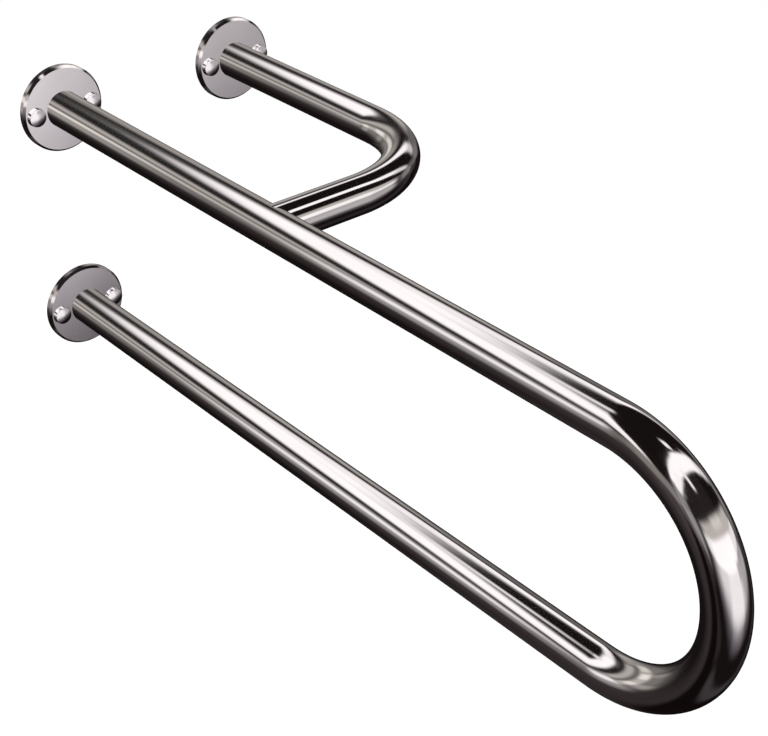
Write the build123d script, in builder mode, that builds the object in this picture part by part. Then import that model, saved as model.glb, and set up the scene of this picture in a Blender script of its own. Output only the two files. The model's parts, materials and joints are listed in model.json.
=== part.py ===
"""Wall-mounted stainless grab bar: a U-bent rail on two wall plates, steadied by a side brace on a third.

Millimetres. The origin is the middle of the upper wall plate's back face, on the wall. +Y points into the
wall, so the rails stand out along -Y. +X runs along the wall towards the brace, and +Z is up.
"""

import os
from math import radians, tan

from build123d import *

# Tube that both rails are bent from
TUBE_OD = 31.8
TUBE_WALL = 1.5

# Main rail: two level legs, one above the other, joined by a half-round end
LEG_LENGTH = 650.0  # wall to the start of the half-round end
LEG_SPACING = 192.0  # upper axis to lower axis

# Side brace: a cross run from the upper leg, then a bend back to the wall
BRACE_REACH = 302.0  # wall to the axis of the cross run
BRACE_OFFSET = 178.0  # upper leg's axis to the brace's axis, along the wall
BRACE_BEND_RADIUS = 96.0  # to the tube's axis
COPE_GAP = 0.1  # between the coped end and the rail it is welded to

# Wall plates
PLATE_THICKNESS = 6.5
PLATE_BEVEL = 2.0  # round the front edge
TUBE_FIT = 0.1  # radial gap between a tube and its plate
TUBE_SETBACK = 1.0  # tube end to the plate's back face, room for the hidden weld
SCREW_HOLE_D = 6.5

# Domed screw caps, and the washers they push onto
CAP_D = 16.4  # where it stands on the plate
CAP_TAPER = 7.5  # of the side, in degrees
CAP_SKIRT = 4.4  # side, from the plate to the shoulder before that is rounded
CAP_RISE = 1.0  # shoulder to the top of the dome
CAP_SHOULDER_RADIUS = 1.4
CAP_WALL = 1.0  # round the bore's mouth
CAP_CROWN = 2.2  # top of the dome to the bottom of the bore
CAP_CLEARANCE = 2.9  # cap to tube, and cap to the plate's edge
WASHER_THICKNESS = 2.4
WASHER_FIT = 0.1  # radial gap between the washer and the cap
SCREW_HEAD_D = 10.5  # mouth of the washer's countersink
COUNTERSINK_ANGLE = 90.0

# What follows from those sizes
TUBE_R = TUBE_OD / 2
BORE_R = TUBE_R - TUBE_WALL
RAIL_BEND_RADIUS = LEG_SPACING / 2
SCREW_SPACING = TUBE_OD + CAP_D + 2 * CAP_CLEARANCE
PLATE_D = SCREW_SPACING + CAP_D + 2 * CAP_CLEARANCE
CAP_R = CAP_D / 2
CAP_TOP_R = CAP_R - CAP_SKIRT * tan(radians(CAP_TAPER))
CAP_BORE_R = CAP_R - CAP_WALL
CAP_BORE_DEPTH = CAP_SKIRT + CAP_RISE - CAP_CROWN
WASHER_R = CAP_BORE_R - WASHER_FIT

# Middle of each wall plate on the wall: X, Z
PLATES = {
    "upper_flange": (0, 0),
    "lower_flange": (0, -LEG_SPACING),
    "brace_flange": (BRACE_OFFSET, 0),
}


def on_wall(x, z, depth=0.0):
    """A plane facing out of the wall at x and z, standing the given depth in front of it."""
    return Plane(origin=(x, -depth, z), x_dir=(1, 0, 0), z_dir=(0, -1, 0))


def screw_places():
    """The X and Z of every screw, two to a plate on a level line."""
    for x, z in PLATES.values():
        for side in (-1, 1):
            yield x + side * SCREW_SPACING / 2, z


def finish(part, name):
    """Labels a finished piece and writes its file."""
    part.label = name
    export_step(part, f"parts/{name}.step")


os.makedirs("parts", exist_ok=True)

# Main rail: the tube's ring carried out along the upper leg, round the end and back along the lower leg
with BuildPart() as main_rail:
    with BuildLine(Plane.YZ) as rail_path:
        upper_leg = Line((-TUBE_SETBACK, 0), (-LEG_LENGTH, 0))
        end_bend = JernArc(upper_leg @ 1, upper_leg % 1, RAIL_BEND_RADIUS, 180)
        Line(end_bend @ 1, (-TUBE_SETBACK, -LEG_SPACING))
    with BuildSketch(Plane(origin=upper_leg @ 0, z_dir=upper_leg % 0)):
        Circle(TUBE_R)
        Circle(BORE_R, mode=Mode.SUBTRACT)
    sweep(path=rail_path.line)

# Side brace: the same tube from the upper leg's axis to the wall, with its first end coped to saddle the leg
with BuildPart() as brace_rail:
    with BuildLine() as brace_path:
        cross_run = Line((0, -BRACE_REACH), (BRACE_OFFSET - BRACE_BEND_RADIUS, -BRACE_REACH))
        brace_bend = JernArc(cross_run @ 1, cross_run % 1, BRACE_BEND_RADIUS, 90)
        Line(brace_bend @ 1, (BRACE_OFFSET, -TUBE_SETBACK))
    with BuildSketch(Plane(origin=cross_run @ 0, z_dir=cross_run % 0)):
        Circle(TUBE_R)
        Circle(BORE_R, mode=Mode.SUBTRACT)
    sweep(path=brace_path.line)
    with BuildSketch(on_wall(0, 0, BRACE_REACH)):
        Circle(TUBE_R + COPE_GAP)
    extrude(amount=TUBE_OD, both=True, mode=Mode.SUBTRACT)

finish(main_rail.part, "main_rail")
finish(brace_rail.part, "brace_rail")

# Wall plates: a disc with a bevelled front edge, a bore for its tube and two screw holes
for name, (plate_x, plate_z) in PLATES.items():
    with BuildPart() as plate:
        with BuildSketch(on_wall(plate_x, plate_z)):
            Circle(PLATE_D / 2)
            Circle(TUBE_R + TUBE_FIT, mode=Mode.SUBTRACT)
            with GridLocations(SCREW_SPACING, SCREW_SPACING, 2, 1):
                Circle(SCREW_HOLE_D / 2, mode=Mode.SUBTRACT)
        extrude(amount=PLATE_THICKNESS)
        front_edges = plate.edges().group_by(Axis.Y)[0]
        chamfer(front_edges.sort_by(SortBy.RADIUS)[-1], PLATE_BEVEL)
    finish(plate.part, name)

# One screw washer: a countersunk disc that a cap pushes onto
with BuildPart() as washer:
    with BuildSketch():
        Circle(WASHER_R)
    extrude(amount=WASHER_THICKNESS)
    with Locations((0, 0, WASHER_THICKNESS)):
        CounterSinkHole(SCREW_HOLE_D / 2, SCREW_HEAD_D / 2, counter_sink_angle=COUNTERSINK_ANGLE)

# One turned cap: a tapered side rounded into a low spherical dome, bored from below for the washer and screw
with BuildPart() as cap:
    with BuildSketch(Plane.XZ):
        with BuildLine():
            dome = TangentArc((0, CAP_SKIRT + CAP_RISE), (CAP_TOP_R, CAP_SKIRT), tangent=(1, 0))
            Polyline(
                dome @ 1,
                (CAP_R, 0),
                (CAP_BORE_R, 0),
                (CAP_BORE_R, CAP_BORE_DEPTH),
                (0, CAP_BORE_DEPTH),
                dome @ 0,
            )
        make_face()
    revolve(axis=Axis.Z)
    shoulder = cap.edges().filter_by_position(Axis.Z, CAP_SKIRT - 0.01, CAP_SKIRT + 0.01)
    fillet(shoulder, CAP_SHOULDER_RADIUS)

# A washer and a cap at every screw, standing on the plates' front faces
screw_seats = [on_wall(x, z, PLATE_THICKNESS).location for x, z in screw_places()]
with BuildPart() as cap_washers:
    with Locations(*screw_seats):
        add(washer.part)
with BuildPart() as dome_caps:
    with Locations(*screw_seats):
        add(cap.part)

finish(cap_washers.part, "cap_washers")
finish(dome_caps.part, "dome_caps")
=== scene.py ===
"""Looks of a polished steel grab bar: smooth tubes, wall plates and screw caps in a studio of cards.

Metres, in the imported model's frame: the wall is the plane y = 0 with +Y into it, the rails stand out
along -Y, +X runs along the wall towards the brace and +Z is up.
"""

import json
from typing import NamedTuple

import bmesh
import bpy
import numpy as np
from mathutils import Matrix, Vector


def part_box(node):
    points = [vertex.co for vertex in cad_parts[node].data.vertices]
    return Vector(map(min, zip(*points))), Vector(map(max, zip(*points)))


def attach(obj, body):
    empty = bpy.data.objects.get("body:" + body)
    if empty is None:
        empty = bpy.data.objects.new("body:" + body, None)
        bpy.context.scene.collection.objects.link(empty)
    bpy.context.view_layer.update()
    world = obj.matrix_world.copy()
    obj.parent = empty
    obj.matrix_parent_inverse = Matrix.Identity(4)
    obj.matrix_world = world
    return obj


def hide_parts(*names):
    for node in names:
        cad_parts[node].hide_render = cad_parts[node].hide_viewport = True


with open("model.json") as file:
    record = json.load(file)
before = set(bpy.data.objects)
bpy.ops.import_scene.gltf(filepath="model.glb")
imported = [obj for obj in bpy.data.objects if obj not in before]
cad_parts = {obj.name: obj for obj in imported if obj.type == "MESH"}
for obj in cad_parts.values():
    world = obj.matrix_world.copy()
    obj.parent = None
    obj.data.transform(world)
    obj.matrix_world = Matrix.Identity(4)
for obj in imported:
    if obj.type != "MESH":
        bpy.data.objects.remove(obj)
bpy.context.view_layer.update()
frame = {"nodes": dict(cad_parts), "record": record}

MM = 0.001

# Places and sizes read from the frame
MOUNTS = {mount["name"]: mount for mount in frame["record"]["mounts"]}
PLATE_CENTRES = {
    name: Vector(MOUNTS[f"{name}_screw_holes"]["pos_m"])
    for name in ("upper", "lower", "brace")
}
SCREW_OFFSET = MOUNTS["upper_screw_holes"]["dims"]["spacing_x_mm"] * MM / 2
SCREW_HOLE_R = MOUNTS["upper_screw_holes"]["dims"]["hole_r_mm"] * MM
RAIL_LOW, RAIL_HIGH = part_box("main_rail")
BRACE_LOW, BRACE_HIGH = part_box("brace_rail")
PLATE_LOW, PLATE_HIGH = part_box("upper_flange")
CAPS_LOW, CAPS_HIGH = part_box("dome_caps")

# Tubes
TUBE_R = RAIL_HIGH.z
TUBE_WALL = 1.5 * MM
TUBE_BORE_R = TUBE_R - TUBE_WALL
FIT_GAP = 0.1 * MM  # from a tube to the plate or the coped end round it
LEG_SPACING = -PLATE_CENTRES["lower"].z
RAIL_BEND_R = LEG_SPACING / 2
LEG_RUN = RAIL_HIGH.y - (RAIL_LOW.y + TUBE_R + RAIL_BEND_R)
BRACE_Y = BRACE_LOW.y + TUBE_R
BRACE_BEND_R = 96 * MM
BRACE_CROSS_RUN = PLATE_CENTRES["brace"].x - BRACE_BEND_R
BRACE_WALL_RUN = BRACE_HIGH.y - BRACE_Y - BRACE_BEND_R
COPE_R = TUBE_R + FIT_GAP

# Wall plates
PLATE_R = PLATE_HIGH.x
PLATE_THICKNESS = -PLATE_LOW.y
PLATE_BEVEL = 2 * MM
PLATE_FACE_R = PLATE_R - PLATE_BEVEL
PLATE_CROWN = 0.22 * MM
PLATE_BORE_R = TUBE_R + FIT_GAP
HOLE_REACH = 0.5  # turn from a screw hole's middle, in radians, past which the rings run plain

# Screw caps
CAP_R = PLATE_CENTRES["upper"].x - SCREW_OFFSET - CAPS_LOW.x
CAP_HEIGHT = CAPS_HIGH.y - CAPS_LOW.y
CAP_TAPER = np.radians(7.5)
CAP_SKIRT = 4.3 * MM
CAP_SHOULDER_R = 0.4 * MM
CAP_WALL = 1 * MM
CAP_BORE_R = CAP_R - CAP_WALL
CAP_BORE_DEPTH = 3.2 * MM

# How finely the surfaces are divided: columns go round a piece, and rows along its outline
TUBE_COLUMNS = 128
STRAIGHT_ROWS = 12
ROWS_PER_BEND_RADIAN = 48
HALF_PLATE_COLUMNS = 96
HALF_HOLE_COLUMNS = 16
ROWS_BESIDE_HOLE = 6
CAP_COLUMNS = 64
DOME_ROWS = 20
SHOULDER_ROWS = 13
TENT_COLUMNS = 720
TENT_ROWS = 241

SHARP_ANGLE = np.radians(28)
MERGE_DISTANCE = 0.001 * MM


def quad_faces(rows, cols, wrap_rows, wrap_cols):
    """Corner indices of the quads of a rows by cols grid, whose last row or column may join on to the
    first."""
    i = np.arange(rows if wrap_rows else rows - 1)[:, None]
    j = np.arange(cols if wrap_cols else cols - 1)[None, :]
    i_next, j_next = (i + 1) % rows, (j + 1) % cols
    corners = [i * cols + j, i_next * cols + j, i_next * cols + j_next, i * cols + j_next]
    return np.stack(corners, -1).reshape(-1, 4)


def wrapped_uvs(row_measure, col_measure):
    """A UV for each corner of the quads of a grid that wraps both ways: its row's measure and its
    column's, each run on past the seam by its last step."""
    u, v = [np.append(measure, 2 * measure[-1] - measure[-2]) for measure in (row_measure, col_measure)]
    uv = np.stack(np.meshgrid(u, v, indexing="ij"), -1)
    corners = [uv[:-1, :-1], uv[1:, :-1], uv[1:, 1:], uv[:-1, 1:]]
    return np.stack(corners, 2).reshape(-1, 2)


def make_piece(name, grids, uvs=None):
    """One mesh object from (points, wrap_rows, wrap_cols) grids, with its seams and poles merged, and
    smooth except at sharp edges."""
    points, faces, first = [], [], 0
    for grid, wrap_rows, wrap_cols in grids:
        rows, cols = grid.shape[:2]
        points.append(grid.reshape(-1, 3))
        faces.append(quad_faces(rows, cols, wrap_rows, wrap_cols) + first)
        first += rows * cols
    mesh = bpy.data.meshes.new(name)
    mesh.from_pydata(np.concatenate(points), [], np.concatenate(faces))
    if uvs is not None:
        mesh.uv_layers.new(name="along").data.foreach_set("uv", uvs.ravel())
    seams = bmesh.new()
    seams.from_mesh(mesh)
    bmesh.ops.remove_doubles(seams, verts=seams.verts, dist=MERGE_DISTANCE)
    seams.to_mesh(mesh)
    seams.free()
    mesh.shade_smooth()
    mesh.set_sharp_from_angle(angle=SHARP_ANGLE)
    piece = bpy.data.objects.new(name, mesh)
    bpy.context.scene.collection.objects.link(piece)
    return piece


class BentPath(NamedTuple):
    """A straight run, one bend and another straight run. Side points from the bend's centre to the first
    run."""

    start: np.ndarray
    ahead: np.ndarray
    side: np.ndarray
    first_run: float
    bend_radius: float
    bend_angle: float
    last_run: float

    def bend_end(self):
        """Distance along the path to the end of its bend."""
        return self.first_run + self.bend_radius * self.bend_angle

    def stations(self):
        """Distances along the path: a few down each straight run, close together round the bend."""
        bend_end = self.bend_end()
        bend_rows = int(ROWS_PER_BEND_RADIAN * self.bend_angle)
        first = np.linspace(0, self.first_run, STRAIGHT_ROWS, endpoint=False)
        bend = np.linspace(self.first_run, bend_end, bend_rows, endpoint=False)
        last = np.linspace(bend_end, bend_end + self.last_run, STRAIGHT_ROWS)
        return np.concatenate([first, bend, last])

    def ring_frames(self, s):
        """Centre and side direction at distances s: the side turns with the angle bent so far, and the
        centre is the start, plus the first run's share, plus the bend radius times the change of side,
        plus what runs on ahead."""
        bent = np.clip((s - self.first_run) / self.bend_radius, 0, self.bend_angle)[..., None]
        before = np.minimum(s, self.first_run)[..., None]
        after = np.clip(s - self.bend_end(), 0, None)[..., None]
        side_now = self.side * np.cos(bent) + self.ahead * np.sin(bent)
        ahead_now = self.ahead * np.cos(bent) - self.side * np.sin(bent)
        round_bend = self.bend_radius * (side_now - self.side)
        centre = self.start + self.ahead * before + round_bend + ahead_now * after
        return centre, side_now


RAIL_PATH = BentPath(
    start=np.array([0, RAIL_HIGH.y, 0]),
    ahead=np.array([0.0, -1.0, 0.0]),
    side=np.array([0.0, 0.0, 1.0]),
    first_run=LEG_RUN,
    bend_radius=RAIL_BEND_R,
    bend_angle=np.pi,
    last_run=LEG_RUN,
)
BRACE_PATH = BentPath(
    start=np.array([0, BRACE_Y, 0]),
    ahead=np.array([1.0, 0.0, 0.0]),
    side=np.array([0.0, -1.0, 0.0]),
    first_run=BRACE_CROSS_RUN,
    bend_radius=BRACE_BEND_R,
    bend_angle=np.pi / 2,
    last_run=BRACE_WALL_RUN,
)


def hollow_tube(name, path, start_trim=None):
    """A tube bent along a path, as one closed grid: out along the outer wall and back along the inner one.
    A point is the path's centre plus the wall's radius times the sum of side cos(turn) and across
    sin(turn). A start trim gives how far from the path's start each line of a wall begins, by its radius
    and turn."""
    s = path.stations()
    radius = np.repeat([TUBE_R, TUBE_BORE_R], s.size)
    turn = np.linspace(0, 2 * np.pi, TUBE_COLUMNS, endpoint=False)
    along = np.repeat(np.concatenate([s, s[::-1]])[:, None], TUBE_COLUMNS, 1)
    if start_trim is not None:
        along = np.maximum(along, start_trim(radius[:, None], turn[None]))
    centre, side = path.ring_frames(along)
    across = np.cross(path.side, path.ahead)
    ring = side * np.cos(turn)[None, :, None] + across * np.sin(turn)[None, :, None]
    points = centre + radius[:, None, None] * ring
    measure = np.concatenate([s, 2 * s[-1] - s[::-1] + TUBE_WALL])
    return make_piece(name, [(points, True, True)], wrapped_uvs(measure, turn * TUBE_R))


def saddle_trim(radius, turn):
    """How far from the rail's axis a line of the brace's wall begins: the root of the cope's radius squared
    less the line's height squared."""
    return np.sqrt(COPE_R**2 - (radius * np.sin(turn)) ** 2)


def front_depth(x, z):
    """Depth of a plate's front, crowned by polishing: it falls away with the square of the distance from
    the middle, and is at its plain depth where the screws are."""
    return PLATE_CROWN * (x**2 + z**2 - SCREW_OFFSET**2) / PLATE_FACE_R**2 - PLATE_THICKNESS


def wall_plate(name, centre):
    """A bevelled disc with a bore and two screw holes. Each half is one grid: a closed profile of radius
    and depth turned through half a circle, with the rings that meet a screw hole lifted over it near their
    ends by the hole's circle, and the front crowned. The other half is the same grid turned half round, and
    the holes' walls close them."""
    hole_angles = np.linspace(np.pi, 0, HALF_HOLE_COLUMNS + 1)
    hole_rings = SCREW_OFFSET + SCREW_HOLE_R * np.cos(hole_angles)
    face_rings = np.concatenate([
        np.linspace(PLATE_BORE_R, hole_rings[0], ROWS_BESIDE_HOLE, endpoint=False),
        hole_rings,
        np.linspace(hole_rings[-1], PLATE_FACE_R, ROWS_BESIDE_HOLE)[1:],
    ])
    radius = np.concatenate([face_rings, [PLATE_R, PLATE_R], face_rings[::-1]])
    lift = np.sqrt(np.clip(SCREW_HOLE_R**2 - (radius - SCREW_OFFSET) ** 2, 0, None))
    turn = np.linspace(0, np.pi, HALF_PLATE_COLUMNS + 1)
    nearness = np.clip(1 - np.minimum(turn, np.pi - turn) / HOLE_REACH, 0, 1)
    x = radius[:, None] * np.cos(turn)
    z = radius[:, None] * np.sin(turn) + lift[:, None] * nearness
    y = np.zeros_like(x)
    rim = face_rings.size
    y[:rim] = front_depth(x[:rim], z[:rim])
    y[rim] = PLATE_BEVEL - PLATE_THICKNESS
    grids = [(np.stack([flip * x, y, flip * z], -1) + centre, True, False) for flip in (1, -1)]
    around = np.linspace(0, 2 * np.pi, 2 * HALF_HOLE_COLUMNS, endpoint=False)
    ring_z = SCREW_HOLE_R * np.sin(around)
    for side in (-1, 1):
        ring_x = side * SCREW_OFFSET + SCREW_HOLE_R * np.cos(around)
        back_and_front = (np.zeros_like(around), front_depth(ring_x, ring_z))
        hole_wall = np.stack([np.stack([ring_x, end, ring_z], -1) for end in back_and_front])
        grids.append((hole_wall + centre, False, True))
    return make_piece(name, grids)


def cap_profile():
    """Radius and height of a cap from the top of its dome round to the middle of its bore: a spherical
    dome, a rounded shoulder tangent to dome and side, the tapered side, and the bore that goes over the
    washer. The shoulder's centre lies its own radius inside the side's line, and the dome's radius less
    its own from the dome's centre."""
    rise = CAP_HEIGHT - CAP_SKIRT
    top_r = CAP_R - CAP_SKIRT * np.tan(CAP_TAPER)
    dome_r = (top_r**2 + rise**2) / (2 * rise)
    dome_z = CAP_HEIGHT - dome_r
    cos, sin = np.cos(CAP_TAPER), np.sin(CAP_TAPER)
    out = CAP_R * cos - CAP_SHOULDER_R
    up = dome_z * cos + np.sqrt((dome_r - CAP_SHOULDER_R) ** 2 - (out - dome_z * sin) ** 2)
    shoulder_x, shoulder_z = out * cos - up * sin, out * sin + up * cos
    meet = np.arctan2(shoulder_z - dome_z, shoulder_x)
    dome = np.linspace(np.pi / 2, meet, DOME_ROWS)
    shoulder = np.linspace(meet, CAP_TAPER, SHOULDER_ROWS)[1:]
    radius = np.concatenate([
        dome_r * np.cos(dome),
        shoulder_x + CAP_SHOULDER_R * np.cos(shoulder),
        [CAP_R, CAP_BORE_R, CAP_BORE_R, 0],
    ])
    height = np.concatenate([
        dome_z + dome_r * np.sin(dome),
        shoulder_z + CAP_SHOULDER_R * np.sin(shoulder),
        [0, 0, CAP_BORE_DEPTH, CAP_BORE_DEPTH],
    ])
    return radius, height


def screw_caps(name):
    """Every cap as its profile turned about the screw's axis, standing on its plate's front face."""
    radius, height = cap_profile()
    turn = np.linspace(0, 2 * np.pi, CAP_COLUMNS, endpoint=False)
    x = radius[:, None] * np.cos(turn)
    z = radius[:, None] * np.sin(turn)
    y = np.broadcast_to(CAPS_HIGH.y - height[:, None], x.shape)
    one = np.stack([x, y, z], -1)
    grids = []
    for centre in PLATE_CENTRES.values():
        for side in (-1, 1):
            seat = np.array(centre + Vector((side * SCREW_OFFSET, 0, 0)))
            grids.append((one + seat, False, True))
    return make_piece(name, grids)


# Materials

NOISE_LOW, NOISE_HIGH = 0.3, 0.7  # the bulk of a noise lies between these
STEEL_TONES = ((0.625, 0.587, 0.582), (0.655, 0.614, 0.610))
PLATE_TONES = ((0.625, 0.586, 0.600), (0.655, 0.614, 0.629))
CAP_TONES = ((0.685, 0.645, 0.655), (0.720, 0.680, 0.690))
PLASTIC_TONES = ((0.74, 0.73, 0.70), (0.82, 0.81, 0.78))


class Noise(NamedTuple):
    """A noise: the coordinate it reads, its scale along each axis, its detail and its distortion."""

    reads: str
    scale: tuple
    detail: float
    distortion: float = 0.0


def new_material(name):
    """An empty node material with a Principled shader, its nodes and a function that links two sockets."""
    material = bpy.data.materials.new(name)
    material.use_nodes = True
    nodes = material.node_tree.nodes
    return material, nodes, nodes["Principled BSDF"], material.node_tree.links.new


def noise_factor(nodes, link, noise):
    """A noise as its factor socket."""
    coords = nodes.new("ShaderNodeTexCoord")
    mapping = nodes.new("ShaderNodeMapping")
    mapping.inputs["Scale"].default_value = noise.scale
    texture = nodes.new("ShaderNodeTexNoise")
    texture.inputs["Scale"].default_value = 1
    texture.inputs["Detail"].default_value = noise.detail
    texture.inputs["Distortion"].default_value = noise.distortion
    link(coords.outputs[noise.reads], mapping.inputs["Vector"])
    link(mapping.outputs["Vector"], texture.inputs["Vector"])
    return texture.outputs["Fac"]


def ranged(nodes, link, noise, low, high):
    """A noise with its bulk brought into a range."""
    spread = nodes.new("ShaderNodeMapRange")
    spread.inputs["From Min"].default_value = NOISE_LOW
    spread.inputs["From Max"].default_value = NOISE_HIGH
    spread.inputs["To Min"].default_value = low
    spread.inputs["To Max"].default_value = high
    link(noise_factor(nodes, link, noise), spread.inputs["Value"])
    return spread.outputs["Result"]


def mottled(name, metallic, tones, clouds, marks, roughness):
    """A material clouded between a dark and a light tone by one noise, whose roughness another varies."""
    material, nodes, shader, link = new_material(name)
    dark, light = tones
    tone = nodes.new("ShaderNodeMix")
    tone.data_type = "RGBA"
    tone.inputs["A"].default_value = (*dark, 1)
    tone.inputs["B"].default_value = (*light, 1)
    link(ranged(nodes, link, clouds, 0, 1), tone.inputs["Factor"])
    link(tone.outputs["Result"], shader.inputs["Base Color"])
    link(ranged(nodes, link, marks, *roughness), shader.inputs["Roughness"])
    shader.inputs["Metallic"].default_value = metallic
    return material


def polished_tube():
    """Steel tube polished along its length: a near mirror whose fine streaks soften what it shows."""
    return mottled(
        "polished_tube",
        metallic=1,
        tones=STEEL_TONES,
        clouds=Noise("Object", (60, 14, 60), detail=3, distortion=0.5),
        marks=Noise("UV", (5, 1500, 1), detail=2),
        roughness=(0.06, 0.09),
    )


def satin_plate():
    """The plates' flat faces, ground and lightly polished."""
    return mottled(
        "satin_plate",
        metallic=1,
        tones=PLATE_TONES,
        clouds=Noise("Object", (45, 45, 45), detail=4, distortion=0.3),
        marks=Noise("Object", (120, 120, 2500), detail=2),
        roughness=(0.10, 0.14),
    )


def ground_back():
    """The plates' wall sides, left as they were ground."""
    return mottled(
        "ground_back",
        metallic=1,
        tones=STEEL_TONES,
        clouds=Noise("Object", (60, 60, 60), detail=4, distortion=0.4),
        marks=Noise("Object", (2500, 120, 120), detail=2),
        roughness=(0.36, 0.50),
    )


def polished_edge(name, tones):
    """Steel turned and polished, for the plates' rims and the screw caps."""
    return mottled(
        name,
        metallic=1,
        tones=tones,
        clouds=Noise("Object", (150, 150, 150), detail=3, distortion=0.3),
        marks=Noise("Object", (300, 5000, 300), detail=2),
        roughness=(0.03, 0.07),
    )


def moulded_washer():
    """Pale moulded plastic, slightly mottled."""
    mottle = Noise("Object", (400, 400, 400), detail=3)
    return mottled(
        "moulded_washer",
        metallic=0,
        tones=PLASTIC_TONES,
        clouds=mottle,
        marks=mottle,
        roughness=(0.42, 0.55),
    )


# Studio: a dark tent round the object whose inside glows in soft-edged cards

PLAIN_LIGHT = (1.005, 1.0, 1.01)
WARM_LIGHT = (1.03, 1.0, 0.945)
COOL_LIGHT = (1.065, 1.0, 1.10)
DIM_LIGHT = (1.2, 1.0, 1.02)
BOW_LEAN = 60


class Card(NamedTuple):
    """A soft-edged patch of light, by turn about the X axis (0 the wall, 90 up, 180 the front) and by lean
    towards +X, both from, to and softness in degrees. Slant is how much its turn shifts with each degree
    of lean, and bow how much it shifts at BOW_LEAN to either side."""

    level: float
    turn: tuple
    lean: tuple
    slant: float = 0.0
    bow: float = 0.0
    tint: tuple = PLAIN_LIGHT


ALL_ROUND = (-120, 300, 1)
LOW_CARDS = [
    Card(0.0038, (-68, 262, 14), (-120, 120, 1), tint=DIM_LIGHT),
    Card(0.028, (-69, -53, 11), (-40, 24, 16), tint=DIM_LIGHT),
    Card(0.038, (-64, -10, 14), (-80, -30, 36), tint=DIM_LIGHT),
    Card(0.066, (-60, -36, 16), (-80, -54, 12), tint=DIM_LIGHT),
    Card(0.052, (252.5, 264, 8), (-34, 30, 14), tint=COOL_LIGHT),
    Card(0.026, (246.5, 272, 12), (32, 80, 10), tint=COOL_LIGHT),
    Card(0.036, (196, 290, 20), (66, 120, 20), tint=COOL_LIGHT),
    Card(0.024, (244, 263, 10), (-66, -41, 12), tint=DIM_LIGHT),
    Card(0.048, (190, 264, 24), (-120, -68, 14), tint=DIM_LIGHT),
]
SIDE_CARDS = [
    Card(0.36, ALL_ROUND, (-120, -80, 10)),
    Card(0.11, (-120, -42, 24), (-120, -79, 10), tint=DIM_LIGHT),
    Card(0.20, (234, 300, 24), (-120, -79, 10)),
    Card(0.11, (258, 300, 16), (-120, -79, 10), tint=DIM_LIGHT),
    Card(0.24, (50, 102, 20), (-120, -79, 10)),
    Card(0.42, (132, 214, 36), (-88, -71, 10)),
    Card(0.30, (-30, 50, 30), (-84, -64, 10), tint=WARM_LIGHT),
    Card(0.40, (102, 133, 20), (-84, -66, 8)),
    Card(0.17, ALL_ROUND, (80, 120, 10)),
    Card(0.04, (-120, -36, 24), (78, 120, 12), tint=DIM_LIGHT),
    Card(0.05, (240, 300, 24), (79, 120, 10), tint=DIM_LIGHT),
    Card(0.28, (112, 205, 30), (76, 92, 12)),
    Card(0.30, (148, 205, 24), (72.5, 92, 14)),
]
WALL_SIDE_CARDS = [
    Card(0.022, (24, 44, 8), (-48, 34, 14)),
    Card(0.03, (-26, 10, 22), (-60, 30, 16), tint=WARM_LIGHT),
    Card(0.25, (-14.5, 18, 28), (-66, 60, 16), tint=WARM_LIGHT),
    Card(0.20, (2, 28.6, 6), (-60, 56, 14), bow=-3, tint=WARM_LIGHT),
    Card(0.26, (-11, 5, 10), (-40, 30, 14), tint=WARM_LIGHT),
    Card(0.38, (-14, 5, 12), (-5, 4, 6), tint=WARM_LIGHT),
    Card(0.05, (-30, -14, 12), (6, 11, 5), tint=WARM_LIGHT),
    Card(0.15, (-14, -4, 8), (6, 11, 5), tint=WARM_LIGHT),
    Card(0.48, (-15.5, 4, 13), (-37, -28, 6), tint=WARM_LIGHT),
    Card(0.62, (19, 27.5, 6), (-43, 23, 14), bow=-2, tint=WARM_LIGHT),
    Card(0.68, (1, 12, 7), (-44, 36, 8), tint=WARM_LIGHT),
    Card(1.20, (2, 11, 6), (-13, 4, 8), tint=WARM_LIGHT),
    Card(0.56, (2, 12, 8), (6, 11, 5), tint=WARM_LIGHT),
    Card(0.92, (2, 11, 6), (13, 29, 7), tint=WARM_LIGHT),
    Card(1.15, (2, 10.8, 6), (-37, -28, 6), tint=WARM_LIGHT),
    Card(0.40, (-1, 23, 14), (34, 52, 8), bow=-3, tint=WARM_LIGHT),
    Card(0.44, (13, 23.5, 8), (28, 46, 7), bow=-1, tint=WARM_LIGHT),
    Card(0.58, (3, 18, 10), (44, 53, 7), tint=WARM_LIGHT),
    Card(0.17, (-14, 27, 16), (54, 76, 10), tint=WARM_LIGHT),
    Card(0.24, (-22, 32, 20), (66, 81, 8), tint=WARM_LIGHT),
    Card(0.45, (-20, 22, 30), (-58, -44, 6)),
    Card(1.32, (0, 18.5, 13), (-58, -44.5, 6)),
]
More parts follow.
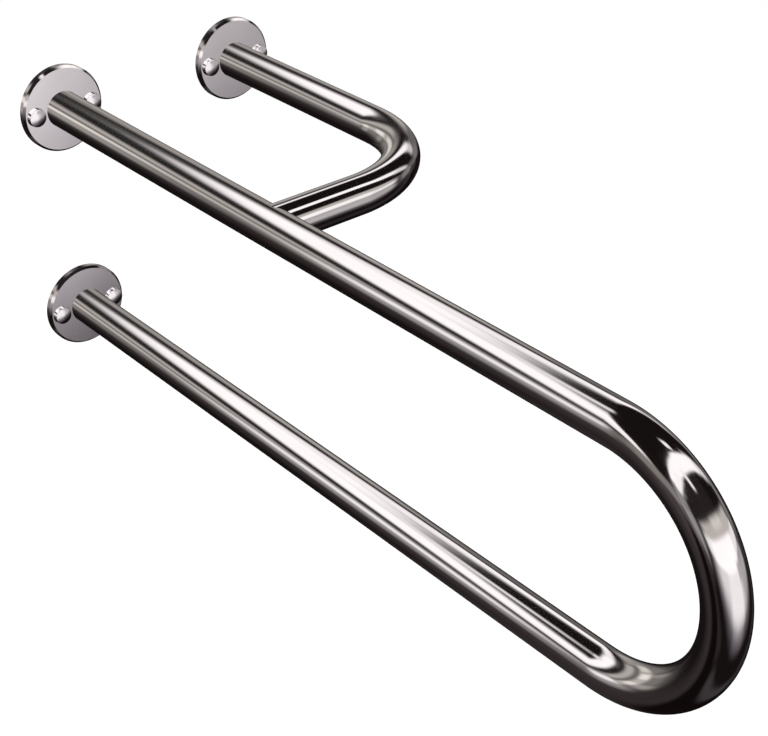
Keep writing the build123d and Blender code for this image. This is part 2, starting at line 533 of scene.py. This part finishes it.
OVERHEAD_CARDS = [
    Card(0.016, (119, 150, 10), (-64, 27, 12), tint=DIM_LIGHT),
    Card(0.11, (34, 44, 6), (-6, 22, 12)),
    Card(1.38, (40, 51.8, 7), (-60, 62, 18), bow=-4),
    Card(1.60, (40.8, 53.3, 6), (-68, 0, 14), bow=1),
    Card(1.60, (40, 52.4, 6), (-2, 13, 8)),
    Card(1.40, (36.5, 48, 8), (-72, -46, 12)),
    Card(1.50, (38.5, 50.5, 7), (38, 52, 10), bow=-2.5),
    Card(0.85, (31, 48, 12), (56, 72, 12)),
    Card(1.15, (50, 59.5, 5), (-14.5, -5, 6)),
    Card(1.50, (87.9, 94.7, 3.5), (9.5, 21.5, 5), slant=0.25),
    Card(0.26, (116, 126, 6), (-70, -52, 8)),
    Card(1.60, (102, 116, 3.5), (-64, 62, 14), slant=-0.02),
    Card(1.60, (101.2, 106, 3), (-4, 16, 8)),
    Card(1.50, (98.6, 116, 9), (45, 64, 10)),
    Card(1.04, (97.5, 119.5, 16), (60, 78, 10)),
    Card(1.50, (104, 114.5, 4), (-66, -30, 12), slant=-0.11),
    Card(1.35, (112, 126, 5), (-13.5, -5, 5)),
]
FRONT_CARDS = [
    Card(0.29, (176, 216, 34), (-60, 64, 16), bow=-8, tint=COOL_LIGHT),
    Card(0.38, (176, 217, 34), (-16, 21, 14), bow=-10, tint=COOL_LIGHT),
    Card(1.06, (172, 207, 30), (-52, 10, 26), bow=-16),
    Card(0.70, (144, 162, 7), (-59, 64, 18), slant=-0.03, bow=3, tint=WARM_LIGHT),
    Card(0.92, (144, 151, 6), (-18, 22, 16), tint=WARM_LIGHT),
    Card(0.74, (176, 206, 16), (20, 39, 12)),
    Card(0.58, (176, 203.5, 18), (35, 62, 10)),
    Card(1.30, (174, 208, 16), (-23, 25.9, 14), slant=0.03, bow=-6),
    Card(0.62, (172, 186, 8), (22, 36, 6)),
    Card(1.22, (158, 173, 5), (20, 65, 10), bow=2),
    Card(1.25, (160, 177, 10), (-62, -44, 12)),
    Card(1.60, (156, 173.5, 5), (-50, 35, 16), slant=-0.02, bow=6),
    Card(1.60, (166, 177.8, 5), (-48, 20, 14)),
]
ALL_CARDS = LOW_CARDS + SIDE_CARDS + WALL_SIDE_CARDS + OVERHEAD_CARDS + FRONT_CARDS

TENT_DARK = np.array([0.0075, 0.0049, 0.0051])
TENT_R = 60.0
TENT_MIDDLE = np.array([0, -0.35, -0.1])
SEAM_TURN = -90  # of the tent's seam, straight down

FLOOR_Z = -0.95
FLOOR_HALF = 9.0
FLOOR_COLOUR = (0.93, 0.93, 0.93, 1)
FLOOR_ROUGHNESS = 0.9
FLOOR_SHADOW_SHARE = 0.2
FLOOR_SHADOW_REACH = 4.0


def soft_edge(x, edge, softness):
    """0 below an edge and 1 above it, eased over the softness."""
    t = np.clip((x - edge) / softness + 0.5, 0, 1)
    return t * t * (3 - 2 * t)


def soft_band(x, low, high, softness):
    """1 between two edges and 0 outside them, eased over the softness."""
    return soft_edge(x, low, softness) * (1 - soft_edge(x, high, softness))


def card_glow(turn, lean):
    """Colour at each turn and lean, with each card laid over the ones before it by its soft mask."""
    glow = np.zeros((*turn.shape, 3))
    for card in ALL_CARDS:
        shift = card.slant * lean + card.bow * (lean / BOW_LEAN) ** 2
        mask = soft_band(turn - shift, *card.turn) * soft_band(lean, *card.lean)
        glow += mask[..., None] * (card.level * np.array(card.tint) - glow)
    return glow


def light_tent():
    """A wide sphere in turn and lean about the X axis, each point carrying its glow, that is seen in the
    polished pieces only."""
    turn = np.radians(np.linspace(SEAM_TURN, SEAM_TURN + 360, TENT_COLUMNS, endpoint=False))[None]
    lean = np.radians(np.linspace(-90, 90, TENT_ROWS))[:, None]
    rays = np.broadcast_arrays(np.sin(lean), np.cos(lean) * np.cos(turn), np.cos(lean) * np.sin(turn))
    tent = make_piece("light_tent", [(TENT_MIDDLE + TENT_R * np.stack(rays, -1), False, True)])
    places = np.empty(len(tent.data.vertices) * 3)
    tent.data.vertices.foreach_get("co", places)
    rays = places.reshape(-1, 3) - TENT_MIDDLE
    rays /= np.linalg.norm(rays, axis=1)[:, None]
    turn = (np.degrees(np.arctan2(rays[:, 2], rays[:, 1])) - SEAM_TURN) % 360 + SEAM_TURN
    lean = np.degrees(np.arcsin(np.clip(rays[:, 0], -1, 1)))
    colour = np.concatenate([TENT_DARK + card_glow(turn, lean), np.ones((len(rays), 1))], 1)
    tent.data.attributes.new("glow", "FLOAT_COLOR", "POINT").data.foreach_set("color", colour.ravel())
    tent.data.materials.append(tent_glow())
    tent.visible_camera = False
    tent.visible_diffuse = False
    tent.visible_shadow = False


def tent_glow():
    """Light of each point's own glow, and no other."""
    material, nodes, shader, link = new_material("tent_glow")
    nodes.remove(shader)
    material.cycles.emission_sampling = "NONE"
    glow = nodes.new("ShaderNodeAttribute")
    glow.attribute_name = "glow"
    light = nodes.new("ShaderNodeEmission")
    link(glow.outputs["Color"], light.inputs["Color"])
    link(light.outputs["Emission"], nodes["Material Output"].inputs["Surface"])
    return material


def seen_directly(nodes, link):
    """1 for a camera, glossy or transmission ray and 0 for any other."""
    path = nodes.new("ShaderNodeLightPath")
    first = nodes.new("ShaderNodeMath")
    second = nodes.new("ShaderNodeMath")
    first.operation = second.operation = "MAXIMUM"
    link(path.outputs["Is Camera Ray"], first.inputs[0])
    link(path.outputs["Is Glossy Ray"], first.inputs[1])
    link(first.outputs["Value"], second.inputs[0])
    link(path.outputs["Is Transmission Ray"], second.inputs[1])
    return second.outputs["Value"]


def white_world():
    """A white surround that is seen and casts no light."""
    world = bpy.data.worlds.new("white_surround")
    world.use_nodes = True
    bpy.context.scene.world = world
    nodes, link = world.node_tree.nodes, world.node_tree.links.new
    nodes["Background"].inputs["Color"].default_value = (1, 1, 1, 1)
    link(seen_directly(nodes, link), nodes["Background"].inputs["Strength"])


def shadow_share(nodes, link):
    """The share of its own shading that the floor keeps: full under the bar, none past the reach."""
    coords = nodes.new("ShaderNodeTexCoord")
    mapping = nodes.new("ShaderNodeMapping")
    mapping.inputs["Scale"].default_value = (1 / FLOOR_SHADOW_REACH, 1 / FLOOR_SHADOW_REACH, 0)
    nearness = nodes.new("ShaderNodeTexGradient")
    nearness.gradient_type = "SPHERICAL"
    share = nodes.new("ShaderNodeMath")
    share.operation = "MULTIPLY"
    share.inputs[1].default_value = FLOOR_SHADOW_SHARE
    link(coords.outputs["Object"], mapping.inputs["Vector"])
    link(mapping.outputs["Vector"], nearness.inputs["Vector"])
    link(nearness.outputs["Fac"], share.inputs[0])
    return share.outputs["Value"]


def pale_floor():
    """A wide floor that glows white to the eye, and keeps a share of its own shading for the shadow."""
    ends = (-FLOOR_HALF, FLOOR_HALF)
    x, y = np.meshgrid(ends, ends, indexing="ij")
    grid = np.stack([x, y, np.full_like(x, FLOOR_Z)], -1)
    floor = make_piece("floor", [(grid, False, False)])
    material, nodes, shader, link = new_material("white_floor")
    shader.inputs["Base Color"].default_value = FLOOR_COLOUR
    shader.inputs["Roughness"].default_value = FLOOR_ROUGHNESS
    white = nodes.new("ShaderNodeEmission")
    glow = nodes.new("ShaderNodeMath")
    glow.operation = "SUBTRACT"
    glow.use_clamp = True
    mix = nodes.new("ShaderNodeMixShader")
    link(seen_directly(nodes, link), glow.inputs[0])
    link(shadow_share(nodes, link), glow.inputs[1])
    link(glow.outputs["Value"], mix.inputs["Fac"])
    link(shader.outputs["BSDF"], mix.inputs[1])
    link(white.outputs["Emission"], mix.inputs[2])
    link(mix.outputs["Shader"], nodes["Material Output"].inputs["Surface"])
    floor.data.materials.append(material)
    floor.visible_glossy = False


def soft_lamp(name, place, aim, size, power):
    """A square lamp that lights the floor and the dull pieces and stays out of the polished ones."""
    data = bpy.data.lights.new(name, "AREA")
    data.size = size
    data.energy = power
    lamp = bpy.data.objects.new(name, data)
    lamp.location = place
    lamp.rotation_euler = (Vector(aim) - Vector(place)).to_track_quat("-Z", "Y").to_euler()
    lamp.visible_glossy = False
    bpy.context.scene.collection.objects.link(lamp)


# Camera at the photograph's place

IMAGE_WIDTH, IMAGE_HEIGHT = 768, 736
FOCAL_PIXELS = 1630.7
CENTRE_X, CENTRE_Y = 415.0, 365.5
CAMERA_PLACE = Vector((-0.6271, -1.1870, 0.5426))
CAMERA_AZIMUTH = np.radians(-40.953)
CAMERA_ELEVATION = np.radians(31.551)
CAMERA_REACH = 100.0
SENSOR_WIDTH = 36.0


def photo_camera():
    """The camera whose place, direction, focal length and shift put the bar where the photograph has it."""
    data = bpy.data.cameras.new("photo_camera")
    data.sensor_fit = "HORIZONTAL"
    data.sensor_width = SENSOR_WIDTH
    data.lens = FOCAL_PIXELS * SENSOR_WIDTH / IMAGE_WIDTH
    data.shift_x = (IMAGE_WIDTH / 2 - CENTRE_X) / IMAGE_WIDTH
    data.shift_y = (CENTRE_Y - IMAGE_HEIGHT / 2) / IMAGE_WIDTH
    data.clip_end = CAMERA_REACH
    level, up = np.cos(CAMERA_ELEVATION), np.sin(CAMERA_ELEVATION)
    back = Vector((np.sin(CAMERA_AZIMUTH) * level, -np.cos(CAMERA_AZIMUTH) * level, up))
    camera = bpy.data.objects.new("photo_camera", data)
    camera.location = CAMERA_PLACE
    camera.rotation_euler = (-back).to_track_quat("-Z", "Y").to_euler()
    bpy.context.scene.collection.objects.link(camera)
    bpy.context.scene.camera = camera


# Pieces in the places of their nodes

FLAT_FACE = 0.9  # least share of a normal along Y on a plate's front or back


def dress(piece, node, slot, *materials):
    """Puts a finished piece in the place of its node, on the one body there is."""
    for material in materials:
        piece.data.materials.append(material)
    piece.visible_glossy = False
    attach(piece, "root")
    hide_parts(node)


def share_out_finishes(plate):
    """A plate's front keeps its first material, its back takes the third, and its other faces the second."""
    normals = np.empty(len(plate.data.polygons) * 3)
    plate.data.polygons.foreach_get("normal", normals)
    into_wall = normals.reshape(-1, 3)[:, 1]
    finish = np.select([into_wall < -FLAT_FACE, into_wall > FLAT_FACE], [0, 2], 1)
    plate.data.polygons.foreach_set("material_index", finish.astype(np.int32))


tube_finish = polished_tube()
plate_finish = satin_plate()
rim_finish = polished_edge("polished_rim", STEEL_TONES)
back_finish = ground_back()
cap_finish = polished_edge("polished_cap", CAP_TONES)

dress(hollow_tube("rail_tube", RAIL_PATH), "main_rail", "rail_tube", tube_finish)
dress(hollow_tube("brace_tube", BRACE_PATH, saddle_trim), "brace_rail", "brace_tube", tube_finish)
for plate_name, plate_centre in PLATE_CENTRES.items():
    plate = wall_plate(f"{plate_name}_plate", np.array(plate_centre))
    dress(plate, f"{plate_name}_flange", "wall_plate", plate_finish, rim_finish, back_finish)
    share_out_finishes(plate)
dress(screw_caps("screw_caps"), "dome_caps", "screw_cap", cap_finish)
washers = frame["nodes"]["cap_washers"]
washers.data.materials.clear()
washers.data.materials.append(moulded_washer())
washers.visible_glossy = False

white_world()
pale_floor()
light_tent()
soft_lamp("overhead_lamp", place=(0, -0.4, 3.5), aim=(0, -0.4, 0), size=5, power=420)
soft_lamp("wall_side_lamp", place=(0.5, 3, 1), aim=(0, 0, 0), size=2, power=60)
photo_camera()
bpy.context.scene.view_settings.view_transform = "Standard"
